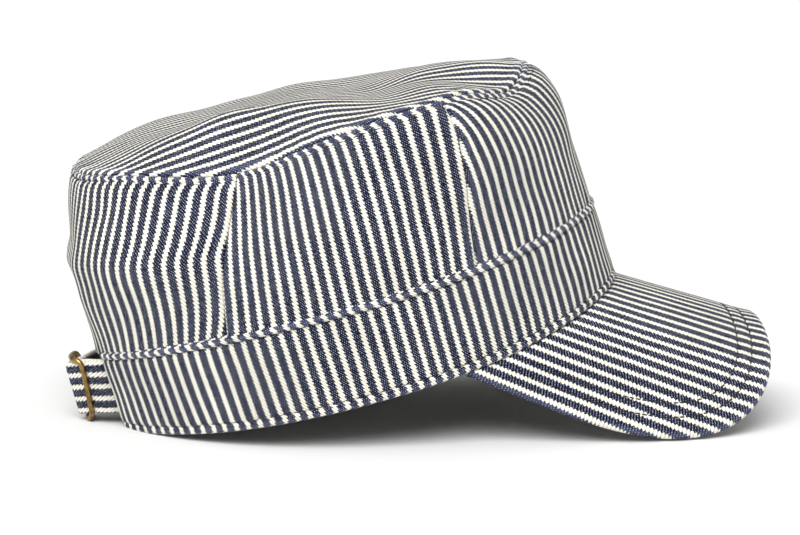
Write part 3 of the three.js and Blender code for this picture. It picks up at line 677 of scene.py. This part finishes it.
def band():
    columns = 620
    # Closer rows near the two edges, where the hems are
    near_low = np.linspace(0, 5, 22)
    near_top = np.linspace(BAND_HEIGHT - 5, BAND_HEIGHT, 26)
    outer_h = np.unique(np.concatenate([np.linspace(0, BAND_HEIGHT, 60), near_low, near_top]))
    from_low = outer_h
    from_top = BAND_HEIGHT - outer_h
    relief = (hem(from_top, BAND_TOP_HEM, 0.75, 0.45) + hem(from_low, BAND_LOW_HEM, 0.2, 0.4)
              + 0.25 * np.sin(math.pi * outer_h / BAND_HEIGHT))
    outer_out = BAND_PROUD + relief
    inner_out = BAND_PROUD - BAND_CLOTH
    arc = np.linspace(0, math.pi, 8)[1:-1]
    half_top = (outer_out[-1] - inner_out) / 2
    half_low = (outer_out[0] - inner_out) / 2
    top_h = BAND_HEIGHT - 0.3 + 0.9 * np.sin(arc)
    top_out = inner_out + half_top * (1 + np.cos(arc))
    inner_h = np.linspace(BAND_HEIGHT, 0, 14)
    low_h = 0.1 - 0.5 * np.sin(arc)
    low_out = inner_out + half_low * (1 - np.cos(arc))
    h = np.concatenate([outer_h, top_h, inner_h, low_h])
    out = np.concatenate([outer_out, top_out, np.full(inner_h.size, inner_out), low_out])
    level = np.clip(h / BAND_HEIGHT, 0, 1)
    over = h - level * BAND_HEIGHT
    end = band_end_angle(level)
    share = np.linspace(-1, 1, columns)[:, None]
    angle = share * end[None]
    levels = np.broadcast_to(level[None], angle.shape)
    base = crown(angle, levels)
    normal = wall_normal(angle, levels)
    upward = unit(crown(angle, np.clip(levels, 0, 0.98) + 0.02) - crown(angle, np.clip(levels, 0, 0.98)))
    reference = crown(share[:, 0] * band_end_angle(0.5), np.full(columns, 0.5))
    width = lengths(base, 0)
    middle = (columns - 1) // 2
    across = (width - width[middle:middle + 1]) * (1 + 0 * level[None])
    run = lengths(reference, 0)
    run = (run - run[middle])[:, None]
    on_outside = (np.arange(h.size) < outer_h.size)[None]
    from_end = np.minimum(run - run[0], run[-1] - run)
    gathers = (0.22 * pucker(run + 0 * h, h[None] - (BAND_HEIGHT - BAND_TOP_HEM), 61, 4.0)
               + 0.2 * pucker(run + 0 * h, h[None] - BAND_LOW_HEM, 62, 4.0)
               + 0.2 * ripple(run + 0 * h, h[None] + 0 * run, 24, 63)) * on_outside
    middle_out = (outer_out.max() + inner_out) / 2
    thin = np.sqrt(np.clip(1 - (1 - np.clip(from_end / 1.1, 0, 1)) ** 2, 0.02, 1))
    offset = middle_out + (out[None] + gathers - middle_out) * thin
    points = base + normal * offset[..., None] + upward * over[None, :, None]
    slip = 1.2 * np.clip((BAND_TOP_HEM - (BAND_HEIGHT - h)) / 0.4, 0, 1)
    slip_low = -0.9 * np.clip((BAND_LOW_HEM - h) / 0.4, 0, 1)
    across = across + (slip + slip_low)[None] * on_outside
    across = across + stripe_lean("hat_band", (share + 1) / 2, level[None])
    # The hem's threads slant a little from the pull of the needle
    slant = 0.45 * np.clip((BAND_TOP_HEM - (BAND_HEIGHT - h)), 0, 3)[None]
    cloth = np.stack([across + slant, np.broadcast_to(h[None], across.shape)], -1)
    wear = (0.8 * bell(BAND_HEIGHT - h - 1.2, 1.0) + 0.5 * bell(h - 0.6, 1.0))[None] * np.ones_like(across)
    loft("hat_band_cloth", points, cloth, wear, "hat_band", twill)
    outside = points[:, :outer_h.size]
    outside_normal = normal[:, :outer_h.size]

    def line(height):
        j = int(np.argmin(np.abs(outer_h - height)))
        return outside[3:-3, j], outside_normal[3:-3, j]
    rows = [line(BAND_HEIGHT - BAND_TOP_HEM), line(BAND_LOW_HEM)]
    stitches("band_stitches", rows, thread)


band()


# Peak
def peak_heading(angle):
    aside = np.minimum(np.abs(np.sin(angle) / math.sin(PEAK_HALF_ANGLE)), 1)
    drop = PEAK_DROP_MIDDLE + (PEAK_DROP_SIDE - PEAK_DROP_MIDDLE) * aside**2
    return np.stack([np.cos(drop), np.zeros_like(drop), -np.sin(drop)], -1)


def peak_surface(angle, run):
    angle, run = np.broadcast_arrays(np.asarray(angle, float), np.asarray(run, float))
    return crown(angle, np.zeros(angle.shape)) + peak_heading(angle) * run[..., None]


def peak_normal(angle, run):
    return surface_normal(peak_surface, angle, run, 0.004, -0.5)


PEAK_ROWS = (8.5, 14.5)


def peak():
    columns = 420
    rows_top = 110
    rows_low = 26
    corner = crown(PEAK_HALF_ANGLE, 0.0)
    angle = PEAK_HALF_ANGLE * np.sin(math.pi * (np.linspace(0, 1, columns) - 0.5))
    start = crown(angle, np.zeros(columns))
    aside = np.minimum(np.abs(start[:, 1] / corner[1]), 1)
    edge = corner[0] + PEAK_REACH * (1 - aside**PEAK_SQUARENESS) ** (1 / PEAK_SQUARENESS)
    reach = np.maximum((edge - start[:, 0]) / peak_heading(angle)[:, 0], 0) + PEAK_SIDE_EDGE
    out_top = 1 - (1 - np.linspace(0, 1, rows_top)) ** 1.5
    out_low = 1 - np.linspace(0, 1, rows_low + 1)[1:] ** 1.5
    out = np.concatenate([out_top, out_low])
    run = SEAM_GAP + (reach - SEAM_GAP)[:, None] * out[None]
    angles = np.broadcast_to(angle[:, None], run.shape)
    base = peak_surface(angles, run)
    normal = peak_normal(angles, run)
    boundary = base[:, rows_top - 1]
    flat_points = base.reshape(-1, 3)
    nearest = np.full(len(flat_points), 1e9)
    for k in range(0, columns - 1):
        a, b = boundary[k], boundary[k + 1]
        way = b - a
        t = np.clip(((flat_points - a) @ way) / max(way @ way, 1e-9), 0, 1)
        gap = np.linalg.norm(flat_points - a - t[:, None] * way, axis=1)
        nearest = np.minimum(nearest, gap)
    to_edge = nearest.reshape(run.shape)
    half = PEAK_THICKNESS / 2
    rounding = half * (1 - np.sqrt(np.clip(1 - (1 - np.clip(to_edge / 2.0, 0, 1)) ** 2, 0, 1)))
    upper = (np.arange(out.size) < rows_top)[None]
    rows = sum(0.42 * bell(to_edge - row, 0.45) + 0.15 * bell(to_edge - row, 1.8) for row in PEAK_ROWS)
    edge_roll = 0.25 * bell(to_edge - 3.0, 2.2)
    near_band = 0.5 * bell(run, 1.2)
    soft = 0.12 * ripple(base[..., 0], base[..., 1], 30, 71)
    lift = -SEAM_GAP - rounding + (edge_roll - rows - near_band + soft) * np.clip(to_edge / 2.5, 0, 1)
    sink = -SEAM_GAP - PEAK_THICKNESS + rounding
    points = base + normal * np.where(upper, lift, sink)[..., None]
    # The stripes follow the straight lines of the peak, so they are spaced square to those
    steps = np.diff(start, axis=0)
    heading = unit(peak_heading(angle)[1:] + peak_heading(angle)[:-1])
    steps = steps - (steps * heading).sum(-1, keepdims=True) * heading
    stripe = np.concatenate([[0], np.cumsum(np.linalg.norm(steps, axis=1))])
    stripe = (stripe - stripe[-1] / 2)[:, None] * np.ones_like(run)
    cloth = np.stack([stripe, run * 1.0], -1)
    wear = 0.8 * bell(to_edge - 0.8, 1.1)
    loft("peak_cloth", points, cloth, wear, "peak", twill)
    lines = []
    for row in PEAK_ROWS:
        found = []
        facing = []
        for i in range(columns):
            d = to_edge[i, :rows_top]
            k = np.where((d[:-1] >= row) & (d[1:] < row))[0]
            if k.size:
                j = int(k[-1])
                s = (d[j] - row) / max(d[j] - d[j + 1], 1e-9)
                found.append(points[i, j] * (1 - s) + points[i, j + 1] * s)
                facing.append(normal[i, j])
        lines.append((np.array(found), np.array(facing)))
    stitches("peak_stitches", lines, thread, gap=0.3, radius=0.32, lift=0.2)


peak()


# Strap, tab and buckle
def up_the_band(angle):
    step = 0.1
    level = np.full(np.shape(angle), STRAP_LEVEL)
    return unit(crown(angle, level + step) - crown(angle, level - step))


def slack_line():
    inside = BAND_PROUD - BAND_CLOTH - STRAP_GAP - STRAP_CLOTH / 2
    right_end = SLACK_BEND + STRAP_CLOTH / 2 - OPENING_HALF_WIDTH
    aside = (OPENING_HALF_WIDTH + STRAP_TUCK) * np.linspace(-1, 1, 97)
    fall = (1 + np.cos(math.pi * np.clip((aside - SLACK_PLACE) / SLACK_FALL, 0, 1))) / 2
    share = np.clip((SLACK_PLACE - aside) / (SLACK_PLACE - right_end), 0, 1)
    bow = np.where(aside > SLACK_PLACE, fall, (1 - share**SLACK_SQUARENESS) ** SLACK_FULLNESS)
    angle = back_angle(aside)
    level = np.full(angle.shape, STRAP_LEVEL)
    points = (crown(angle, level) + wall_normal(angle, level) * (inside + STRAP_SLACK * bow)[:, None]
              + up_the_band(angle) * (STRAP_RISE * bow)[:, None])
    return catmull_rom(points, 12)


def between(first, second, low, high, place):
    """The value at a place on the straight way from first, at low, to second, at high."""
    return (high - place) / (high - low) * first + (place - low) / (high - low) * second


def catmull_rom(points, steps):
    """A smooth curve through points, centripetal as in the solids."""
    ends = np.concatenate([[2 * points[0] - points[1]], points, [2 * points[-1] - points[-2]]])
    curve = []
    for k in range(1, len(ends) - 2):
        p = ends[k - 1:k + 3]
        gaps = np.maximum(np.linalg.norm(np.diff(p, axis=0), axis=1), 1e-6)
        t = np.concatenate([[0], np.cumsum(gaps**0.5)])
        for s in np.linspace(t[1], t[2], steps, endpoint=False):
            a = [between(p[m], p[m + 1], t[m], t[m + 1], s) for m in range(3)]
            b = [between(a[m], a[m + 1], t[m], t[m + 2], s) for m in range(2)]
            curve.append(between(b[0], b[1], t[1], t[2], s))
    curve.append(points[-1])
    return np.array(curve)


SLACK = slack_line()
SLACK_RUN = lengths(SLACK, 0)
SLACK_LENGTH = SLACK_RUN[-1]


def slack_place(along, outward, rise):
    along, outward, rise = np.broadcast_arrays(*(np.asarray(v, float) for v in (along, outward, rise)))
    run = np.clip(along + SLACK_LENGTH / 2, 0, SLACK_LENGTH)

    def at(where):
        return np.stack([np.interp(where, SLACK_RUN, SLACK[:, c]) for c in range(3)], -1)
    middle = at(run)
    tangent = unit(at(np.minimum(run + 0.6, SLACK_LENGTH)) - at(np.maximum(run - 0.6, 0)))
    upward = up_the_band(back_angle(middle[..., 1]))
    normal = unit(np.cross(upward, tangent))
    across = np.cross(tangent, normal)
    return middle + normal * outward[..., None] + across * rise[..., None]


BAR_OUT = STRAP_CLOTH / 2 + SEAM_GAP + BAR_RADIUS
LOOP_RADIUS = BAR_RADIUS + SEAM_GAP + TAB_CLOTH / 2
STRAP_OVER = BAR_OUT + LOOP_RADIUS + TAB_CLOTH / 2 + STRAP_GAP + STRAP_CLOTH / 2


def strap_lift(along):
    away = np.clip(np.abs(along - BUCKLE_PLACE) / BAR_SPACING, 0, 1)
    return STRAP_OVER * (1 + np.cos(math.pi * away)) / 2


# Place of the strap's stitch rows in from its edges, and of its stripes across it
STRAP_ROW = 1.6
STRAP_STRIPE_PLACE = 1.8


def ribbon(name, node, path, thickness, width, phase, seed, rows=True):
    """A strip of cloth along a path of (along, outward) places by the slack line."""
    path = np.array(path)
    tangent = np.gradient(path, axis=0)
    tangent = tangent / np.linalg.norm(tangent, axis=1, keepdims=True)
    facing = np.stack([-tangent[:, 1], tangent[:, 0]], -1)
    half, reach = thickness / 2, width / 2
    flat = np.linspace(-1, 1, 34)
    bend = np.linspace(-math.pi / 2, math.pi / 2, 7)[1:-1]
    side = reach - half
    hem_row = -0.22 * bell(np.abs(flat * side) - (side - STRAP_ROW), 0.4)
    round_edge = side + half * np.cos(bend)
    rise = np.concatenate([flat * side, round_edge, -flat * side, -round_edge])
    puff = 0.12 * (1 - flat**4) + hem_row
    out = np.concatenate([half + puff, -half * np.sin(bend), -half - 0 * flat, half * np.sin(bend)])
    run = lengths(path, 0)
    waves = 0.12 * ripple(run[:, None] + 0 * rise, rise[None] + 0 * run[:, None], 12, seed)
    offset = out[None] + waves * np.sign(out)[None]
    thin = np.sqrt(np.clip(1 - (1 - np.clip(np.minimum(run, run[-1] - run) / half, 0, 1)) ** 2, 0.02, 1))
    offset = offset * thin[:, None]
    place_along = path[:, :1] + facing[:, :1] * offset
    place_out = path[:, 1:] + facing[:, 1:] * offset
    points = slack_place(place_along, place_out, np.broadcast_to(rise[None], offset.shape))
    cloth = np.stack([rise[None] + phase + 0 * offset, run[:, None] + 0 * offset], -1)
    wear = 0.6 * bell(np.abs(rise)[None] - reach + 0.4, 0.7) + 0 * offset
    loft(name, points, cloth, wear, node, twill)
    if rows:
        lines = []
        for sign in (-1, 1):
            j = int(np.argmin(np.abs(flat * side - sign * (side - STRAP_ROW))))
            line = points[:, j]
            behind = points[:, flat.size + bend.size + (flat.size - 1 - j)]
            lines.append((line[2:-2], unit(line - behind)[2:-2]))
        stitches(name.replace("cloth", "stitches"), lines, thread, radius=0.17)


def strap():
    along = np.linspace(-SLACK_LENGTH / 2, SLACK_LENGTH / 2, 460)
    path = np.stack([along, strap_lift(along)], -1)
    ribbon("strap_cloth", "strap", path, STRAP_CLOTH, STRAP_WIDTH, STRAP_STRIPE_PLACE, 81)


def strap_tab():
    near = STRAP_CLOTH / 2 + STRAP_GAP + TAB_CLOTH / 2
    far = near + TAB_CLOTH + SEAM_GAP

    def below(along, depth):
        tilt = np.arctan((strap_lift(along + 0.05) - strap_lift(along - 0.05)) / 0.1)
        return np.stack([along + depth * np.sin(tilt), strap_lift(along) - depth * np.cos(tilt)], -1)
    start = -SLACK_LENGTH / 2
    out_way = below(np.linspace(start, BUCKLE_PLACE - LOOP_RADIUS, 90), near)
    turn = np.radians(np.linspace(110, -110, 30))
    loop = np.stack([BUCKLE_PLACE + LOOP_RADIUS * np.cos(turn), BAR_OUT + LOOP_RADIUS * np.sin(turn)], -1)
    back_way = below(np.linspace(BUCKLE_PLACE - 2.2 * LOOP_RADIUS, start, 90), far)
    path = np.concatenate([out_way, loop, back_way])
    ribbon("strap_tab_cloth", "strap_tab", path, TAB_CLOTH, STRAP_WIDTH, STRAP_STRIPE_PLACE, 82, rows=False)


strap()
strap_tab()


def rod(points, radius, sides=20):
    """Rings round a line of points, for a round rod."""
    tangent = unit(np.gradient(points, axis=0))
    first = unit(np.cross(tangent, np.array([0.3, 0.2, 1.0])))
    second = np.cross(tangent, first)
    turn = np.arange(sides) * 2 * math.pi / sides
    radius = np.asarray(radius)[:, None, None]
    return (points[:, None] + radius * (first[:, None] * np.cos(turn)[:, None]
                                        + second[:, None] * np.sin(turn)[:, None]))


RAIL_RADIUS = 1.0
FRAME_RADIUS = 1.1
FRAME_SQUARENESS = 7


def buckle():
    rail = STRAP_WIDTH / 2 + RAIL_CLEARANCE + RAIL_RADIUS
    steps = np.linspace(0, 2 * math.pi, 241)
    power = 2 / FRAME_SQUARENESS
    along = BAR_SPACING * np.sign(np.cos(steps)) * np.abs(np.cos(steps)) ** power
    rise = rail * np.sign(np.sin(steps)) * np.abs(np.sin(steps)) ** power
    bow = RAIL_BOW * (1 - (along / BAR_SPACING) ** 2)
    ring = slack_place(BUCKLE_PLACE + along, BAR_OUT + bow, rise)
    even = np.linspace(0, 1, 200)
    run = lengths(ring, 0) / lengths(ring, 0)[-1]
    ring = np.stack([np.interp(even, run, ring[:, c]) for c in range(3)], -1)
    rings = rod(ring, np.full(len(ring), FRAME_RADIUS))
    cloth = np.zeros(rings.shape[:2] + (2,))
    loft("buckle_brass", rings, cloth, np.zeros(rings.shape[:2]), "buckle", brass)
    bar = slack_place(BUCKLE_PLACE, BAR_OUT, np.linspace(-rail, rail, 40))
    rings = rod(bar, np.full(len(bar), BAR_RADIUS))
    cloth = np.zeros(rings.shape[:2] + (2,))
    loft("buckle_bar_brass", rings, cloth, np.zeros(rings.shape[:2]), None, brass)


buckle()


# Stitches under the rim, on the walls, and the length of wall that one level spans there
RIM_LEVEL_LENGTH = 62


def rim_stitches():
    angle = np.linspace(-math.pi, math.pi, 700)
    level = np.full(angle.shape, 2 - RIM_HEM / RIM_LEVEL_LENGTH)
    points = crown(angle, level)
    normal = wall_normal(angle, level)
    stitches("rim_stitches", [(points - normal * 0.25, normal)], thread)


rim_stitches()

# Floor, light and camera
floor_mesh = bpy.data.meshes.new("floor")
FLOOR_HALF = 12.0
floor_mesh.from_pydata([(-FLOOR_HALF, -FLOOR_HALF, 0), (FLOOR_HALF, -FLOOR_HALF, 0),
                        (FLOOR_HALF, FLOOR_HALF, 0), (-FLOOR_HALF, FLOOR_HALF, 0)], [], [(0, 1, 2, 3)])
floor = bpy.data.objects.new("floor", floor_mesh)
bpy.context.scene.collection.objects.link(floor)
paper = Graph("floor_paper")
paper.shader.inputs["Base Color"].default_value = (0.8, 0.8, 0.8, 1)
paper.shader.inputs["Roughness"].default_value = 0.9
floor_mesh.materials.append(paper.material)

world = bpy.data.worlds.new("studio")
world.use_nodes = True
world.node_tree.nodes["Background"].inputs["Color"].default_value = (1, 1, 1, 1)
world.node_tree.nodes["Background"].inputs["Strength"].default_value = 0.62
bpy.context.scene.world = world
bpy.context.scene.view_settings.view_transform = "Standard"


def sun(name, strength, azimuth, elevation, spread):
    """A broad soft light from a direction: azimuth from +X towards +Y, in degrees."""
    light = bpy.data.lights.new(name, "SUN")
    light.energy = strength
    light.angle = math.radians(spread)
    holder = bpy.data.objects.new(name, light)
    a, e = math.radians(azimuth), math.radians(elevation)
    back = Vector((math.cos(a) * math.cos(e), math.sin(a) * math.cos(e), math.sin(e)))
    holder.rotation_mode = "QUATERNION"
    holder.rotation_quaternion = back.to_track_quat("Z", "Y")
    bpy.context.scene.collection.objects.link(holder)


sun("key", 3.1, -112, 50, 50)

# The camera looks along +Y, turned a little towards the back, from just above the floor
CAMERA_AZIMUTH = math.radians(5)
CAMERA_ELEVATION = math.radians(8.46)
CAMERA_ROLL = math.radians(-0.72)
CAMERA_DISTANCE = 1.25
PIXELS_PER_METRE = 2500
AIM_ASIDE = 0.01446
AIM_UP = 0.03807
IMAGE_WIDTH = 800
origin = CAP_ORIGIN * MILLIMETRE
aim = Vector((AIM_ASIDE * math.cos(CAMERA_AZIMUTH) + origin[0],
              -AIM_ASIDE * math.sin(CAMERA_AZIMUTH) + origin[1], AIM_UP + origin[2]))
forward = Vector((math.sin(CAMERA_AZIMUTH) * math.cos(CAMERA_ELEVATION),
                  math.cos(CAMERA_AZIMUTH) * math.cos(CAMERA_ELEVATION), -math.sin(CAMERA_ELEVATION)))
level_right = Vector((math.cos(CAMERA_AZIMUTH), -math.sin(CAMERA_AZIMUTH), 0))
level_up = level_right.cross(forward)
right = level_right * math.cos(CAMERA_ROLL) - level_up * math.sin(CAMERA_ROLL)
up = level_right * math.sin(CAMERA_ROLL) + level_up * math.cos(CAMERA_ROLL)
camera_data = bpy.data.cameras.new("camera")
camera_data.sensor_width = 36
camera_data.lens = 36 * PIXELS_PER_METRE * CAMERA_DISTANCE / IMAGE_WIDTH
camera_data.clip_start = 0.05
camera_data.clip_end = 60
camera = bpy.data.objects.new("camera", camera_data)
place = aim - forward * CAMERA_DISTANCE
camera.matrix_world = Matrix(((right.x, up.x, -forward.x, place.x), (right.y, up.y, -forward.y, place.y),
                              (right.z, up.z, -forward.z, place.z), (0, 0, 0, 1)))
bpy.context.scene.collection.objects.link(camera)
bpy.context.scene.camera = camera

bpy.context.view_layer.update()
